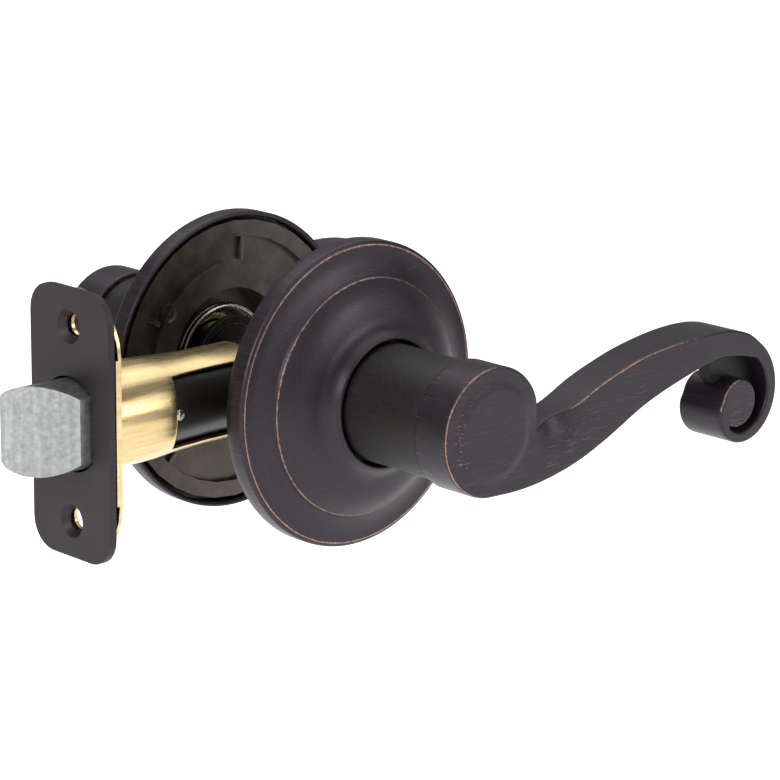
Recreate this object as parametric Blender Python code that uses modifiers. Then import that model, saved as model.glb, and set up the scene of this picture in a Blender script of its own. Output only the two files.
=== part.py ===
# Lever handle lockset for a bored door: two levers on round roses, and a tubular spring latch.
# X runs from the door edge to the spindle and on along the levers, Y goes through the door
# (the outside is -Y), and Z is up. The origin is on the spindle axis, half way through the door.
# Every length below is in millimetres, and MM turns it into metres.

import math

import bmesh
import bpy

MM = 0.001

# Fit
DOOR_THICKNESS = 35.0
BACKSET = 60.3  # door edge to spindle axis
SEAT_GAP = 0.3  # between pieces that sit on each other
RUN_GAP = 0.4  # between pieces that turn or slide past each other

# Rose: a thin turned cover
ROSE_RADIUS = 33.3
ROSE_HEIGHT = 14.3
ROSE_WALL = 1.2
RIM_HEIGHT = 4.0
RIM_ROUND = 0.8
STEP_RADIUS = 25.8  # fine edge between the cove and the dome
STEP_HEIGHT = 7.3
FLARE_RADIUS = 18.9  # where the dome turns up into the collar
FLARE_HEIGHT = 10.9
COLLAR_WIDTH = 1.1
TURNED_STEPS = 32
SMALL_STEPS = 24

# Mounting plate: a dished stamping inside each rose
PLATE_WALL = 1.4
PLATE_SETBACK = 0.6  # plate flange to door face
PLATE_FLANGE = 2.2
PLATE_DISH_DEPTH = 1.4
WELL_RADIUS = 16.0
WELL_DEPTH = 7.2

# Turning parts behind and in the lever
TUBE_RADIUS = 7.6
TUBE_BORE = 5.6
TUBE_BASE = 3.8
TUBE_BASE_HEIGHT = 1.2
BUSH_WALL = 1.5
BUSH_FLANGE = 2.0
BUSH_FLANGE_THICKNESS = 1.0
RING_WIDTH = 2.5
RING_THICKNESS = 1.0
NECK_RADIUS = 12.9
NECK_WALL = 2.0
NECK_WEB = 4.0
ROSE_HOLE_GAP = 0.7  # rose to neck

# Lever
DRUM_RADIUS = 13.8
DRUM_BACK = 35.4  # height above the door face
DRUM_LENGTH = 9.9
SCROLL_EXTRA = 1.2  # how much the scroll stands out of the drum's faces, front and back
SWELL_START = 40.0  # along the arm, where its depth starts to grow
SWELL_LENGTH = 26.0
LEVER_EDGE = 0.7
LEVER_SOCKET_FLOOR = 3.0
WEB_THICKNESS = 3.0  # closes the scroll's hollow half way through
EYE_X = 75.7  # centre of the scroll
EYE_Z = -7.0
EYE_RADIUS = 5.4
SPIRAL_START = 6.1  # outer spiral where it joins the eye
SPIRAL_GROWTH = 0.0338  # per degree
BAND_GROWTH = 0.0269  # per degree, the inner side of the band
BAND_START_TURN = 40.0  # degrees past the eye joint where the inner side leaves the eye
SET_SCREW_RADIUS = 1.9
SET_SCREW_LENGTH = 4.6

# Return springs
COIL_RADIUS = 11.5
COIL_WIRE = 0.65
COIL_TURNS = 2.1
COIL_PITCH = 1.4
DRIVER_HEIGHT = 1.2
DRIVER_THICKNESS = 1.4
DRIVER_RING = 1.9
DRIVER_TAB = 3.0

# Spindle, posts and screws
SPINDLE_RADIUS = 3.0
SPINDLE_FLAT = 1.2  # axis to the flat
POST_RADIUS = 3.4
POST_BORE = 2.0
POST_NECK = 1.9
POST_PAST_CENTRE = 9.0
SCREW_RADIUS = 1.65
SCREW_HEAD_RADIUS = 3.3
SCREW_HEAD_HEIGHT = 2.2
SCREW_LENGTH = 19.5

# Faceplate and inner plate
FACE_WIDTH = 25.4
FACE_HEIGHT = 57.15
FACE_CORNER = 6.35
FACE_THICKNESS = 1.7
INNER_PLATE_HEIGHT = 56.4
INNER_PLATE_THICKNESS = 1.4
INNER_PLATE_RAISED = 15.3  # half height of the raised middle
INNER_PLATE_STEP = 0.6
WOOD_SCREW_Z = 20.65
WOOD_SCREW_HOLE = 2.4
WOOD_SCREW_SINK = 3.7

# Latch
LATCH_TUBE_RADIUS = 11.0
LATCH_TUBE_NARROWING = 0.9  # front radius less rear radius
LATCH_TUBE_WALL = 0.8
LATCH_TUBE_STRAIGHT = 13.3
LATCH_TUBE_TAPER = 16.0
LATCH_TUBE_LENGTH = 42.0
WINDOW_START = 19.0  # behind the tube's front end
WINDOW_HALF_HEIGHT = 7.8
CORE_REAR = 12.0
CORE_CHAMBER_Y = 3.9
CORE_SKIN = 1.3  # core's wall above and below the fork's rails
BOLT_CLEARANCE = 0.6  # bolt to the inside of the latch tube
BOLT_HALF_WIDTH = 6.7
BOLT_THROW = 12.7
BOLT_TRAVEL = 12.2  # how far the levers draw it back
BOLT_BODY = 3.3  # how far the bolt stays behind the faceplate's front
BOLT_NOSE = 1.5
BOLT_FLAT = 2.6  # from the faceplate to the foot of the bevel
BOLT_HOLE_GAP = 0.5
TAIL_BAR = 3.2
RAIL_THICKNESS = 2.0
RAIL_HEIGHT = 2.3
HOOK_FRONT = 2.9
HOOK_LENGTH = 2.1
CAM_HUB_RADIUS = 4.6
CAM_HUB_HALF = 8.2
FINGER_HALF_WIDTH = 1.6
FINGER_HALF_THICKNESS = 1.2
SPRING_RADIUS = 2.9
SPRING_WIRE = 0.45
SPRING_TURNS = 7

# Worked out from the values above
HALF_DOOR = DOOR_THICKNESS / 2
SCREW_OFFSET = WELL_RADIUS + PLATE_WALL + SCREW_HEAD_RADIUS + SEAT_GAP  # from the spindle axis
FACE_X = -BACKSET
FACE_BACK_X = FACE_X + FACE_THICKNESS
INNER_FRONT_X = FACE_BACK_X + SEAT_GAP
INNER_BACK_X = INNER_FRONT_X + INNER_PLATE_THICKNESS
LATCH_TUBE_FRONT_X = FACE_BACK_X + SEAT_GAP
BOLT_REAR_X = FACE_X + BOLT_BODY
CORE_FRONT_X = BOLT_REAR_X + BOLT_TRAVEL + 2 * RUN_GAP
TAIL_FRONT_X = BOLT_REAR_X + SEAT_GAP
TAIL_BACK_X = TAIL_FRONT_X + TAIL_BAR
POST_HOLE_RADIUS = POST_RADIUS + 2 * SEAT_GAP
WEB_FRONT_X = -SCREW_OFFSET - POST_HOLE_RADIUS - 0.6
ROSE_HOLE = NECK_RADIUS + ROSE_HOLE_GAP
PLATE_RADIUS = ROSE_RADIUS - ROSE_WALL - 0.7
FLOOR_INNER = PLATE_SETBACK + PLATE_DISH_DEPTH  # door side of the plate's floor
FLOOR_OUTER = FLOOR_INNER + PLATE_WALL
WELL_INNER = PLATE_SETBACK + WELL_DEPTH
WELL_OUTER = WELL_INNER + PLATE_WALL
BUSH_BORE = TUBE_RADIUS + SEAT_GAP
BUSH_RADIUS = BUSH_BORE + BUSH_WALL
BUSH_FLANGE_HEIGHT = WELL_OUTER + SEAT_GAP
RING_HEIGHT = BUSH_FLANGE_HEIGHT + BUSH_FLANGE_THICKNESS + SEAT_GAP
NECK_BACK = RING_HEIGHT + RING_THICKNESS + RUN_GAP
NECK_FRONT = DRUM_BACK - SEAT_GAP
TUBE_END = DRUM_BACK + DRUM_LENGTH - LEVER_SOCKET_FLOOR - SEAT_GAP
SET_SCREW_HEIGHT = DRUM_BACK + (DRUM_LENGTH - LEVER_SOCKET_FLOOR) / 2
LATCH_TUBE_REAR_RADIUS = LATCH_TUBE_RADIUS - LATCH_TUBE_NARROWING
BOLT_RADIUS = LATCH_TUBE_RADIUS - LATCH_TUBE_WALL - BOLT_CLEARANCE
CORE_CHAMBER_Z = LATCH_TUBE_REAR_RADIUS - LATCH_TUBE_WALL - SEAT_GAP - CORE_SKIN
RAIL_OUTER_Z = CORE_CHAMBER_Z - SEAT_GAP
RAIL_INNER_Z = RAIL_OUTER_Z - RAIL_HEIGHT
FINGER_REACH = RAIL_OUTER_Z - RUN_GAP
RAIL_OUTER_Y = CORE_CHAMBER_Y - SEAT_GAP
RAIL_INNER_Y = RAIL_OUTER_Y - RAIL_THICKNESS


def clear_scene():
    for obj in list(bpy.data.objects):
        bpy.data.objects.remove(obj)


def new_collection(name):
    collection = bpy.data.collections.new(name)
    bpy.context.scene.collection.children.link(collection)
    return collection


def metal(name, colour, metallic, roughness):
    material = bpy.data.materials.new(name)
    material.use_nodes = True
    shader = material.node_tree.nodes["Principled BSDF"]
    shader.inputs["Base Color"].default_value = (*colour, 1.0)
    shader.inputs["Metallic"].default_value = metallic
    shader.inputs["Roughness"].default_value = roughness
    return material


def add_part(name, data, material=None, place=None):
    """Links an object. A material makes it a part, and no material makes it a cutter."""
    obj = bpy.data.objects.new(name, data)
    if material:
        data.materials.append(material)
        parts.objects.link(obj)
    else:
        obj.hide_render = True
        obj.display_type = "WIRE"
        helpers.objects.link(obj)
    if place:
        obj.parent = place
    return obj


def turned(name, profile, material=None, place=None, steps=TURNED_STEPS, ring=True):
    """Turns (radius, height) points about local Z. A ring's profile is a closed loop."""
    count = len(profile)
    edges = [(i, (i + 1) % count) for i in range(count if ring else count - 1)]
    mesh = bpy.data.meshes.new(name)
    mesh.from_pydata([(r * MM, 0, h * MM) for r, h in profile], edges, [])
    obj = add_part(name, mesh, material, place)
    screw = obj.modifiers.new("Turn", "SCREW")
    screw.steps = steps
    screw.render_steps = steps
    screw.use_merge_vertices = True
    screw.merge_threshold = 0.00002
    return obj


def box(name, low, high, material=None, place=None):
    """A box from its lowest to its highest corner, in millimetres."""
    mesh = bpy.data.meshes.new(name)
    shape = bmesh.new()
    bmesh.ops.create_cube(shape, size=MM)
    size = [b - a for a, b in zip(low, high)]
    middle = [(a + b) / 2 * MM for a, b in zip(low, high)]
    bmesh.ops.scale(shape, vec=size, verts=shape.verts)
    bmesh.ops.translate(shape, vec=middle, verts=shape.verts)
    shape.to_mesh(mesh)
    shape.free()
    return add_part(name, mesh, material, place)


def rod(name, radius, low, high, axis, centre=(0, 0), steps=24, material=None, place=None):
    """A cylinder along X, Y or Z, with its centre given on the other two axes in their order."""
    mesh = bpy.data.meshes.new(name)
    shape = bmesh.new()
    bmesh.ops.create_cone(
        shape,
        cap_ends=True,
        segments=steps,
        radius1=radius * MM,
        radius2=radius * MM,
        depth=(high - low) * MM,
    )
    bmesh.ops.translate(shape, vec=(0, 0, (low + high) / 2 * MM), verts=shape.verts)
    order = {"X": (2, 0, 1), "Y": (1, 2, 0), "Z": (0, 1, 2)}[axis]
    offset = {"X": (0, *centre), "Y": (centre[0], 0, centre[1]), "Z": (*centre, 0)}[axis]
    for vert in shape.verts:
        turned_point = [vert.co[i] for i in order]
        vert.co = [a + b * MM for a, b in zip(turned_point, offset)]
    shape.to_mesh(mesh)
    shape.free()
    return add_part(name, mesh, material, place)


def extruded(name, loops, low, high, material=None, place=None, edge=0.0):
    """A flat outline with holes, in the local XY plane, thickened from low to high along Z."""
    curve = bpy.data.curves.new(name, "CURVE")
    curve.dimensions = "2D"
    curve.fill_mode = "BOTH"
    curve.extrude = ((high - low) / 2 - edge) * MM
    curve.bevel_depth = edge * MM
    curve.bevel_resolution = 0
    curve.offset = -edge * MM
    for loop in loops:
        spline = curve.splines.new("POLY")
        spline.points.add(len(loop) - 1)
        for point, (x, y) in zip(spline.points, loop):
            point.co = (x * MM, y * MM, 0, 1)
        spline.use_cyclic_u = True
    source = bpy.data.objects.new(name + "_outline", curve)
    helpers.objects.link(source)
    mesh = bpy.data.meshes.new_from_object(
        source.evaluated_get(bpy.context.evaluated_depsgraph_get())
    )
    bpy.data.objects.remove(source)
    shape = bmesh.new()
    shape.from_mesh(mesh)
    bmesh.ops.remove_doubles(shape, verts=shape.verts, dist=0.000002)
    bmesh.ops.translate(shape, vec=(0, 0, (low + high) / 2 * MM), verts=shape.verts)
    bmesh.ops.recalc_face_normals(shape, faces=shape.faces)
    shape.to_mesh(mesh)
    shape.free()
    mesh.materials.clear()
    return add_part(name, mesh, material, place)


def wire(name, points, radius, material, place=None):
    curve = bpy.data.curves.new(name, "CURVE")
    curve.dimensions = "3D"
    curve.bevel_depth = radius * MM
    curve.bevel_resolution = 2
    curve.use_fill_caps = True
    spline = curve.splines.new("POLY")
    spline.points.add(len(points) - 1)
    for point, (x, y, z) in zip(spline.points, points):
        point.co = (x * MM, y * MM, z * MM, 1)
    return add_part(name, curve, material, place)


def boolean(obj, other, operation):
    modifier = obj.modifiers.new(other.name, "BOOLEAN")
    modifier.operation = operation
    modifier.object = other


def cut(obj, *cutters):
    for cutter in cutters:
        boolean(obj, cutter, "DIFFERENCE")


def join(obj, *others):
    for other in others:
        boolean(obj, other, "UNION")


def arc(x, y, radius, start, end, count):
    """Points on an arc from start to end degrees, both ends included."""
    angles = [math.radians(start + (end - start) * i / (count - 1)) for i in range(count)]
    return [(x + radius * math.cos(a), y + radius * math.sin(a)) for a in angles]


def smooth_line(points, steps):
    """A Catmull-Rom line through the points, without its last point."""
    ends = [points[0], *points, points[-1]]
    line = []
    for before, here, there, after in zip(ends, ends[1:], ends[2:], ends[3:]):
        for i in range(steps):
            t = i / steps
            line.append(
                tuple(
                    b
                    + t * (c - a) / 2
                    + t * t * (2 * a - 5 * b + 4 * c - d) / 2
                    + t**3 * (3 * b - a - 3 * c + d) / 2
                    for a, b, c, d in zip(before, here, there, after)
                )
            )
    return line


def quarter_curve(start, end, bulge, count):
    """Points from start to end, pushed sideways by a sine, without the start."""
    (r1, h1), (r2, h2) = start, end
    length = math.hypot(r2 - r1, h2 - h1)
    points = []
    for i in range(1, count + 1):
        t = i / count
        push = bulge * math.sin(math.pi * t) / length
        points.append((r1 + (r2 - r1) * t - (h2 - h1) * push, h1 + (h2 - h1) * t + (r2 - r1) * push))
    return points


def spindle_outline(grow):
    """The half-round section of the spindle, grown by a clearance."""
    radius = SPINDLE_RADIUS + grow
    flat = math.degrees(math.asin((SPINDLE_FLAT + grow) / radius))
    return arc(0, 0, radius, -flat, 180 + flat, 16)


def rose_profile():
    rim_top = (ROSE_RADIUS - RIM_ROUND, RIM_HEIGHT + RIM_ROUND)
    profile = [(ROSE_HOLE, ROSE_HEIGHT), (ROSE_HOLE + COLLAR_WIDTH, ROSE_HEIGHT)]
    profile += quarter_curve(profile[-1], (FLARE_RADIUS, FLARE_HEIGHT), -0.6, 3)
    profile += quarter_curve(profile[-1], (STEP_RADIUS, STEP_HEIGHT), 0.5, 2)
    profile.append((STEP_RADIUS + 0.6, STEP_HEIGHT - 0.7))
    profile += quarter_curve(profile[-1], rim_top, -0.4, 2)
    profile += quarter_curve(rim_top, (ROSE_RADIUS, RIM_HEIGHT), 0.35, 2)
    profile.append((ROSE_RADIUS, 0))
    return profile


def make_rose(side, place):
    rose = turned(f"{side}_rose", rose_profile(), bronze, place, ring=False)
    shell = rose.modifiers.new("Wall", "SOLIDIFY")
    shell.thickness = ROSE_WALL * MM
    shell.offset = -1
    shell.use_even_offset = True


def make_mounting_plate(side, place, screw_hole):
    flange_inner = PLATE_RADIUS - PLATE_FLANGE
    profile = [
        (BUSH_RADIUS + SEAT_GAP, WELL_OUTER),
        (WELL_RADIUS + PLATE_WALL, WELL_OUTER),
        (WELL_RADIUS + PLATE_WALL, FLOOR_OUTER),
        (flange_inner, FLOOR_OUTER),
        (flange_inner, PLATE_SETBACK + PLATE_WALL),
        (PLATE_RADIUS, PLATE_SETBACK + PLATE_WALL),
        (PLATE_RADIUS, PLATE_SETBACK),
        (flange_inner - PLATE_WALL, PLATE_SETBACK),
        (flange_inner - PLATE_WALL, FLOOR_INNER),
        (WELL_RADIUS, FLOOR_INNER),
        (WELL_RADIUS, WELL_INNER),
        (BUSH_RADIUS + SEAT_GAP, WELL_INNER),
    ]
    plate = turned(f"{side}_mounting_plate", profile, steel, place)
    for end, x in (("front", -SCREW_OFFSET), ("rear", SCREW_OFFSET)):
        name = f"{side}_{end}_hole_cutter"
        cut(plate, rod(name, screw_hole, 0, WELL_DEPTH, "Z", (x, 0), 20, None, place))


def make_bushing(side, place):
    flange_top = BUSH_FLANGE_HEIGHT + BUSH_FLANGE_THICKNESS
    profile = [
        (BUSH_BORE, flange_top),
        (BUSH_RADIUS + BUSH_FLANGE, flange_top),
        (BUSH_RADIUS + BUSH_FLANGE, BUSH_FLANGE_HEIGHT),
        (BUSH_RADIUS, BUSH_FLANGE_HEIGHT),
        (BUSH_RADIUS, WELL_INNER),
        (BUSH_BORE, WELL_INNER),
    ]
    turned(f"{side}_bushing", profile, brass, place, SMALL_STEPS)


def make_retaining_ring(side, place):
    inner = TUBE_RADIUS + SEAT_GAP
    top = RING_HEIGHT + RING_THICKNESS
    corners = [(inner, top), (inner + RING_WIDTH, top)]
    corners += [(inner + RING_WIDTH, RING_HEIGHT), (inner, RING_HEIGHT)]
    ring = turned(f"{side}_retaining_ring", corners, steel, place, SMALL_STEPS)
    low = (-1.5, 0, RING_HEIGHT - 1)
    cut(ring, box(f"{side}_ring_gap_cutter", low, (1.5, 2 * inner, top + 1), None, place))


def make_drive_tube(side, place):
    base_top = TUBE_BASE_HEIGHT + TUBE_BASE
    profile = [
        (0, base_top),
        (TUBE_BORE, base_top),
        (TUBE_BORE, TUBE_END),
        (TUBE_RADIUS, TUBE_END),
        (TUBE_RADIUS, TUBE_BASE_HEIGHT),
        (0, TUBE_BASE_HEIGHT),
    ]
    tube = turned(f"{side}_drive_tube", profile, steel, place, SMALL_STEPS, ring=False)
    # The spindle's outline lies in local XY here, and its flat is towards world -Z on both sides.
    up = 1 if side == "outside" else -1
    loop = [(x, up * y) for x, y in spindle_outline(SEAT_GAP)]
    cut(tube, extruded(f"{side}_spindle_cutter", [loop], -1, base_top + 1, None, place))


def make_spring_driver(side, place):
    inner = TUBE_RADIUS + SEAT_GAP
    outer = inner + DRIVER_RING
    top = DRIVER_HEIGHT + DRIVER_THICKNESS
    profile = [(inner, top), (outer, top), (outer, DRIVER_HEIGHT), (inner, DRIVER_HEIGHT)]
    driver = turned(f"{side}_spring_driver", profile, steel, place, SMALL_STEPS)
    tab_inner = COIL_RADIUS + COIL_WIRE + RUN_GAP + 0.5
    half = DRIVER_TAB / 2
    arm_low = (-half, outer - 1.0, DRIVER_HEIGHT)
    arm = box(f"{side}_driver_arm", arm_low, (half, tab_inner + 1.6, top), None, place)
    tab_low = (-half, tab_inner, DRIVER_HEIGHT)
    tab = box(f"{side}_driver_tab", tab_low, (half, tab_inner + 1.6, top + 2.2), None, place)
    join(driver, arm, tab)


def make_return_spring(side, place):
    start_height = DRIVER_HEIGHT + DRIVER_THICKNESS + RUN_GAP + COIL_WIRE
    start = 90 - math.degrees((DRIVER_TAB / 2 + COIL_WIRE + RUN_GAP) / COIL_RADIUS)
    leg = WELL_RADIUS - RUN_GAP - COIL_WIRE
    per_turn = 14
    count = round(COIL_TURNS * per_turn)
    coil = []
    for i in range(count + 1):
        turn = i / per_turn
        angle = math.radians(start - 360 * turn)
        height = start_height + COIL_PITCH * turn
        coil.append((COIL_RADIUS * math.cos(angle), COIL_RADIUS * math.sin(angle), height))
    ends = []
    for x, y, height in (coil[0], coil[-1]):
        grow = leg / COIL_RADIUS
        ends.append((x * grow, y * grow, height))
    wire(f"{side}_return_spring", [ends[0], *coil, ends[1]], COIL_WIRE, spring_steel, place)


def make_neck(side, place):
    bore = TUBE_RADIUS + SEAT_GAP
    inside = NECK_RADIUS - NECK_WALL
    web = NECK_FRONT - NECK_WEB
    profile = [(bore, NECK_FRONT), (NECK_RADIUS, NECK_FRONT), (NECK_RADIUS, NECK_BACK)]
    profile += [(inside, NECK_BACK), (inside, web), (bore, web)]
    turned(f"{side}_lever_neck", profile, dark_bronze, place)


def spiral(radius_at, start, end, count):
    """Points round the scroll's centre. Turns are degrees past the eye joint, which is at 180."""
    points = []
    for i in range(count):
        turn = start + (end - start) * i / (count - 1)
        angle = math.radians(turn - 180)
        radius = radius_at(turn)
        points.append((EYE_X + radius * math.cos(angle), EYE_Z + radius * math.sin(angle)))
    return points


def lever_outline():
    """The lever from the front, with X along the arm: drum, arm and scroll in one loop."""
    root_angle = -7.1  # where the arm's upper edge leaves the drum
    top_edge = arc(0, 0, DRUM_RADIUS, root_angle, root_angle, 2)[:1]
    top_edge += [(23.1, 0.8), (30.8, 4.1), (37.5, 6.4), (46.7, 8.7), (59.7, 10.2), (70.5, 10.2)]
    top_edge.append((78.1, 8.4))
    outer = spiral(lambda turn: SPIRAL_START + SPIRAL_GROWTH * turn, 239, 4, 18)
    eye = arc(EYE_X, EYE_Z, EYE_RADIUS, 165, -118, 14)
    inner = spiral(lambda turn: EYE_RADIUS + BAND_GROWTH * (turn - BAND_START_TURN), 60, 240, 11)
    bottom_edge = [inner[-1], (74.6, 3.8), (68.0, 4.2), (59.0, 2.2), (46.8, -1.9)]
    bottom_edge += [(34.0, -7.8), (25.0, -11.3), (15.8, -13.3), (7.5, -14.0)]
    drum = arc(0, 0, DRUM_RADIUS, -92, -360 + root_angle, 23)
    return (
        smooth_line([*top_edge, outer[0]], 3)
        + outer
        + eye
        + inner[:-1]
        + smooth_line([*bottom_edge, drum[0]], 3)
        + drum[:-1]
    )


def web_outline():
    """A plate across the scroll's hollow, with its edges inside the band, the eye and the arm."""
    band = spiral(lambda turn: EYE_RADIUS + 0.8 + BAND_GROWTH * (turn - BAND_START_TURN), 60, 240, 9)
    return [(EYE_X, EYE_Z), *band, (74.6, 5.0), (70.2, 5.2), (70.4, -1.0)]


def swell(x):
    """0 at the drum and 1 at the scroll, smoothly between."""
    t = min(max((x - SWELL_START) / SWELL_LENGTH, 0.0), 1.0)
    return t * t * (3 - 2 * t)


def make_lever(side, place):
    up = 1 if side == "outside" else -1
    front = DRUM_BACK + DRUM_LENGTH
    loop = [(x, up * z) for x, z in lever_outline()]
    name = f"{side}_lever"
    lever = extruded(name, [loop], DRUM_BACK, front, bronze, place, LEVER_EDGE)
    middle = (DRUM_BACK + front) / 2 * MM
    for vert in lever.data.vertices:
        away = (vert.co.z - middle) / (DRUM_LENGTH / 2 * MM)
        vert.co.z += away * SCROLL_EXTRA * MM * swell(vert.co.x / MM)
    web_low = (DRUM_BACK + front - WEB_THICKNESS) / 2
    web_loop = [(x, up * z) for x, z in web_outline()]
    web = extruded(f"{side}_web", [web_loop], web_low, web_low + WEB_THICKNESS, place=place)
    join(lever, web)
    socket_top = TUBE_END + SEAT_GAP
    socket = rod(
        f"{side}_socket_cutter", TUBE_RADIUS + SEAT_GAP, DRUM_BACK - 2, socket_top, "Z", place=place
    )
    hole_ends = sorted((-up * TUBE_RADIUS, -up * (DRUM_RADIUS + 2)))
    hole = rod(
        f"{side}_set_screw_cutter",
        SET_SCREW_RADIUS + SEAT_GAP,
        *hole_ends,
        "Y",
        (0, SET_SCREW_HEIGHT),
        20,
        place=place,
    )
    cut(lever, socket, hole)


def make_set_screw(side, place):
    up = 1 if side == "outside" else -1
    inner = TUBE_RADIUS + SEAT_GAP
    ends = sorted((-up * inner, -up * (inner + SET_SCREW_LENGTH)))
    name = f"{side}_set_screw"
    centre = (0, SET_SCREW_HEIGHT)
    screw = rod(name, SET_SCREW_RADIUS, *ends, "Y", centre, 20, spring_steel, place)
    socket_ends = sorted((-up * (inner + SET_SCREW_LENGTH - 2), -up * (inner + SET_SCREW_LENGTH + 1)))
    cut(screw, rod(name + "_socket", 1.0, *socket_ends, "Y", centre, 6, place=place))


def make_side(side):
    """Everything on one face of the door. Local Z points away from the door."""
    out = -1 if side == "outside" else 1
    place = bpy.data.objects.new(f"{side}_axis", None)
    parts.objects.link(place)
    place.location = (0, out * HALF_DOOR * MM, 0)
    place.rotation_euler = (-out * math.radians(90), 0, 0)
    make_rose(side, place)
    hole = POST_NECK if side == "outside" else SCREW_RADIUS
    make_mounting_plate(side, place, hole + SEAT_GAP)
    make_bushing(side, place)
    make_retaining_ring(side, place)
    make_drive_tube(side, place)
    make_spring_driver(side, place)
    make_return_spring(side, place)
    make_neck(side, place)
    make_lever(side, place)
    make_set_screw(side, place)
    return place


def make_post_and_screw(end, x, outside, inside):
    """A threaded post riveted to the outside plate, and the screw that pulls the two plates in."""
    head_low = FLOOR_OUTER + SEAT_GAP
    post_end = -(HALF_DOOR + POST_PAST_CENTRE)
    bore_end = post_end + 14.0
    profile = [
        (0, head_low + 1.2),
        (POST_NECK + 1.2, head_low + 1.2),
        (POST_NECK + 1.2, head_low),
        (POST_NECK, head_low),
        (POST_NECK, FLOOR_INNER - SEAT_GAP),
        (POST_RADIUS, FLOOR_INNER - SEAT_GAP),
        (POST_RADIUS, post_end),
        (POST_BORE, post_end),
        (POST_BORE, bore_end),
        (0, bore_end),
    ]
    post = turned(f"{end}_threaded_post", profile, steel, outside, 16, ring=False)
    post.location.x = x * MM
    tip = head_low - SCREW_LENGTH
    profile = [
        (0, head_low + SCREW_HEAD_HEIGHT),
        (SCREW_HEAD_RADIUS - 1.2, head_low + SCREW_HEAD_HEIGHT),
        (SCREW_HEAD_RADIUS, head_low + SCREW_HEAD_HEIGHT - 1.0),
        (SCREW_HEAD_RADIUS, head_low),
        (SCREW_RADIUS, head_low),
        (SCREW_RADIUS, tip + 1.0),
        (SCREW_RADIUS - 0.6, tip),
        (0, tip),
    ]
    screw = turned(f"{end}_mounting_screw", profile, spring_steel, inside, 16, ring=False)
    screw.location.x = x * MM
    recess_low = head_low + SCREW_HEAD_HEIGHT - 1.4
    recess_high = head_low + SCREW_HEAD_HEIGHT + 1
    for name, wide, deep in (("a", 2.0, 0.45), ("b", 0.45, 2.0)):
        low = (-wide, -deep, recess_low)
        cutter = box(f"{end}_recess_{name}", low, (wide, deep, recess_high), None, inside)
        cutter.location.x = x * MM
        cut(screw, cutter)


def rounded_rectangle(width, height, corner):
    centres = (1, 1, 0), (-1, 1, 90), (-1, -1, 180), (1, -1, 270)
    loop = []
    for x, y, start in centres:
        x *= width / 2 - corner
        y *= height / 2 - corner
        loop += arc(x, y, corner, start, start + 89.9, 7)
    return loop


def bolt_section(grow):
    """The bolt from its end: a circle with two flats. The first axis is Z and the second Y."""
    radius = BOLT_RADIUS + grow
    flat = math.degrees(math.asin((BOLT_HALF_WIDTH + grow) / radius))
    return arc(0, 0, radius, -flat, flat, 10) + arc(0, 0, radius, 180 - flat, 180 + flat, 10)


def make_plates():
    """The faceplate in the door's edge, and the inner plate that carries the latch behind it."""
    # Local Z is world X here, local X is world -Z, and local Y is world Y.
    place = bpy.data.objects.new("latch_axis", None)
    parts.objects.link(place)
    place.rotation_euler = (0, math.radians(90), 0)
    holes = [arc(z, 0, WOOD_SCREW_HOLE, 0, 337.5, 16) for z in (-WOOD_SCREW_Z, WOOD_SCREW_Z)]
    outline = rounded_rectangle(FACE_HEIGHT, FACE_WIDTH, FACE_CORNER)
    loops = [outline, bolt_section(BOLT_HOLE_GAP), *holes]
    face = extruded("faceplate", loops, FACE_X, FACE_BACK_X, bronze, place)
    depth = WOOD_SCREW_SINK - WOOD_SCREW_HOLE
    for name, z in (("top", -WOOD_SCREW_Z), ("bottom", WOOD_SCREW_Z)):
        # The cone starts inside the hole and runs on past the face, at 45 degrees all the way.
        profile = [(0, FACE_X + depth + 1), (WOOD_SCREW_HOLE - 1, FACE_X + depth + 1)]
        profile += [(WOOD_SCREW_SINK + 1, FACE_X - 1), (0, FACE_X - 1)]
        sink = turned(f"{name}_sink_cutter", profile, None, place, 16, ring=False)
        sink.location.x = z * MM
        cut(face, sink)
    outline = rounded_rectangle(INNER_PLATE_HEIGHT, FACE_WIDTH, FACE_WIDTH / 2 - 0.01)
    tube_hole = arc(0, 0, LATCH_TUBE_RADIUS + SEAT_GAP, 0, 348.75, 32)
    loops = [outline, tube_hole, *holes]
    inner = extruded("inner_plate", loops, INNER_FRONT_X, INNER_BACK_X, brass, place)
    for name, sign in (("top", -1), ("bottom", 1)):
        near = sign * INNER_PLATE_RAISED
        far = sign * INNER_PLATE_HEIGHT
        low = (min(near, far), -FACE_WIDTH, INNER_FRONT_X - 1)
        high = (max(near, far), FACE_WIDTH, INNER_FRONT_X + INNER_PLATE_STEP)
        cut(inner, box(f"{name}_step_cutter", low, high, None, place))
    return place


def latch_radius(x):
    """Outer radius of the latch tube, which is straight and then tapers."""
    past = x - LATCH_TUBE_FRONT_X - LATCH_TUBE_STRAIGHT
    share = min(max(past / LATCH_TUBE_TAPER, 0), 1)
    return LATCH_TUBE_RADIUS + (LATCH_TUBE_REAR_RADIUS - LATCH_TUBE_RADIUS) * share


def make_latch_tube(place):
    straight_end = LATCH_TUBE_FRONT_X + LATCH_TUBE_STRAIGHT
    rear = LATCH_TUBE_FRONT_X + LATCH_TUBE_LENGTH
    stations = [rear, straight_end + LATCH_TUBE_TAPER, straight_end, LATCH_TUBE_FRONT_X]
    outer = [(latch_radius(x), x) for x in stations]
    inner = [(r - LATCH_TUBE_WALL, x) for r, x in reversed(outer)]
    tube = turned("latch_tube", outer + inner, brass, place)
    low = (LATCH_TUBE_FRONT_X + WINDOW_START, -2 * LATCH_TUBE_RADIUS, -WINDOW_HALF_HEIGHT)
    high = (rear + 2, 2 * LATCH_TUBE_RADIUS, WINDOW_HALF_HEIGHT)
    cut(tube, box("window_cutter", low, high))


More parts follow.
